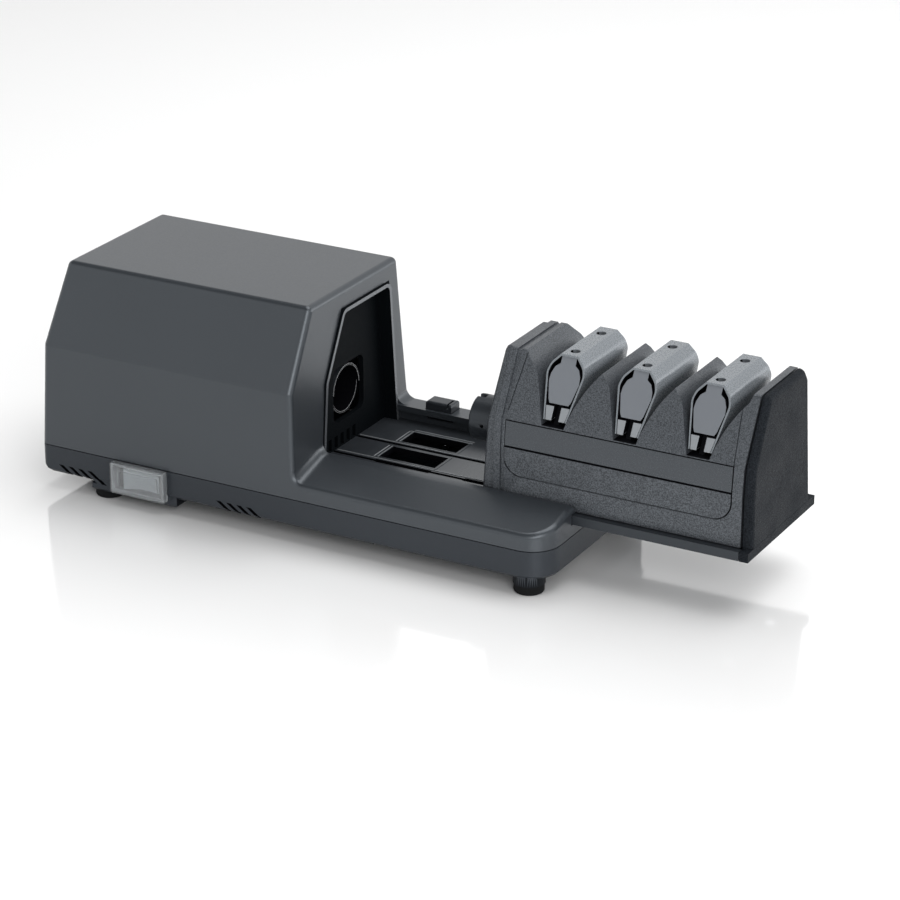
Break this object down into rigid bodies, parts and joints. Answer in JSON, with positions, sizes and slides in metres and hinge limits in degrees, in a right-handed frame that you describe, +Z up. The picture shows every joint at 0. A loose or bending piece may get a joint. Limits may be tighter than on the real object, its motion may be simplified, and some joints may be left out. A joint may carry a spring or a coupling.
{
  "type": "electric knife sharpener",
  "caption": "Bench electric knife sharpener: motor housing with a slide tray, and a withdrawn sharpening module with spring-guided blade slots.",
  "frame": {"origin": "centre of the bounding box's footprint at rest, on the surface the feet stand on", "axes": "+X from the motor end towards the open end, along the module's slide; +Y from the front to the back; +Z up"},
  "size_m": [0.345, 0.117, 0.106],
  "materials": {
    "housing_plastic": "fine satin grain, dark anthracite",
    "liner_plastic": "matt, near black",
    "base_plastic": "satin, dark anthracite",
    "rubber_black": "matt",
    "zinc_steel": "bright zinc",
    "lamination_steel": "rolled sheet stack",
    "copper_wire": "enamelled copper",
    "cast_aluminium": "die cast",
    "sintered_bronze": "matt, oil filled",
    "shaft_steel": "ground",
    "fan_plastic": "matt black",
    "coupling_plastic": "matt near-black",
    "clear_cover": "frosted, translucent",
    "switch_black": "gloss black",
    "rocker_plastic": "gloss, dark grey",
    "catch_plastic": "matt near-black",
    "capacitor_case": "smooth light grey",
    "terminal_plastic": "ivory",
    "module_plastic": "spark-textured dark grey",
    "stage_band_plastic": "smooth satin dark grey",
    "end_plate_plastic": "textured, near black",
    "module_base_plastic": "satin near-black",
    "ferrite": "dull dark grey",
    "guide_spring_plastic": "satin light grey",
    "toe_plastic": "satin light grey",
    "core_plastic": "satin mid grey",
    "diamond_abrasive": "fine diamond grit on metal"
  },
  "bodies": {
    "base": {"upper_shell": "housing_plastic", "niche_liner": "liner_plastic", "bottom_shell": "base_plastic", "rubber_feet": "rubber_black", "shell_screws": "zinc_steel", "motor_stator": "lamination_steel", "motor_windings": "copper_wire", "motor_bracket_left": "cast_aluminium", "motor_bracket_right": "cast_aluminium", "motor_bushes": "sintered_bronze", "motor_bolts": "zinc_steel", "motor_grommets": "rubber_black", "motor_screws": "zinc_steel", "switch_cover": "clear_cover", "switch_body": "switch_black", "cord_gland": "rubber_black", "run_capacitor": "capacitor_case", "terminal_block": "terminal_plastic", "catch_spring": "shaft_steel"},
    "rotor": {"motor_shaft": "shaft_steel", "motor_rotor": "lamination_steel", "cooling_fan": "fan_plastic", "drive_cup": "coupling_plastic"},
    "rocker": {"switch_rocker": "rocker_plastic"},
    "catch": {"release_catch": "catch_plastic"},
    "module": {"module_frame": "module_plastic", "module_front_panel": "module_plastic", "module_stage_band": "stage_band_plastic", "module_inner_end_plate": "end_plate_plastic", "module_outer_end_plate": "end_plate_plastic", "module_base": "module_base_plastic", "module_screws": "zinc_steel", "filings_magnet": "ferrite", "spindle_bushes": "sintered_bronze", "guide_screws": "zinc_steel", "guide_spring_1": "guide_spring_plastic", "guide_spring_2": "guide_spring_plastic", "guide_spring_3": "guide_spring_plastic", "guide_toe_blocks_1": "toe_plastic", "guide_toe_blocks_2": "toe_plastic", "guide_toe_blocks_3": "toe_plastic", "guide_core_1": "core_plastic", "guide_core_2": "core_plastic", "guide_core_3": "core_plastic"},
    "spindle": {"spindle_shaft": "shaft_steel", "driven_hub": "coupling_plastic", "disc_springs": "shaft_steel", "disc_drive_pins": "shaft_steel", "abrasive_discs_1": "diamond_abrasive", "abrasive_discs_2": "diamond_abrasive", "abrasive_discs_3": "diamond_abrasive"}
  },
  "joints": [
    {"name": "module_slide", "type": "slide", "parent": "base", "child": "module", "axis": [1, 0, 0], "range_m": [-0.083, 0.038]},
    {"name": "rotor_spin", "type": "hinge", "parent": "base", "child": "rotor", "pos_m": [-0.1005, 0.005, 0.0524], "axis": [1, 0, 0], "continuous": true},
    {"name": "spindle_spin", "type": "hinge", "parent": "module", "child": "spindle", "pos_m": [0.0975, 0.005, 0.0524], "axis": [1, 0, 0], "continuous": true},
    {"name": "switch_rock", "type": "hinge", "parent": "base", "child": "rocker", "pos_m": [-0.1183, -0.0488, 0.0137], "axis": [0, 0, -1], "range_deg": [0, 16]},
    {"name": "catch_press", "type": "slide", "parent": "base", "child": "catch", "axis": [0, 0, -1], "range_m": [0, 0.0025], "stiffness_N_per_m": 800, "springref_m": -0.0005, "deforming": ["catch_spring"]}
  ],
  "couplings": [
    {"joint": "spindle_spin", "follows": "rotor_spin", "ratio": 1}
  ]
}
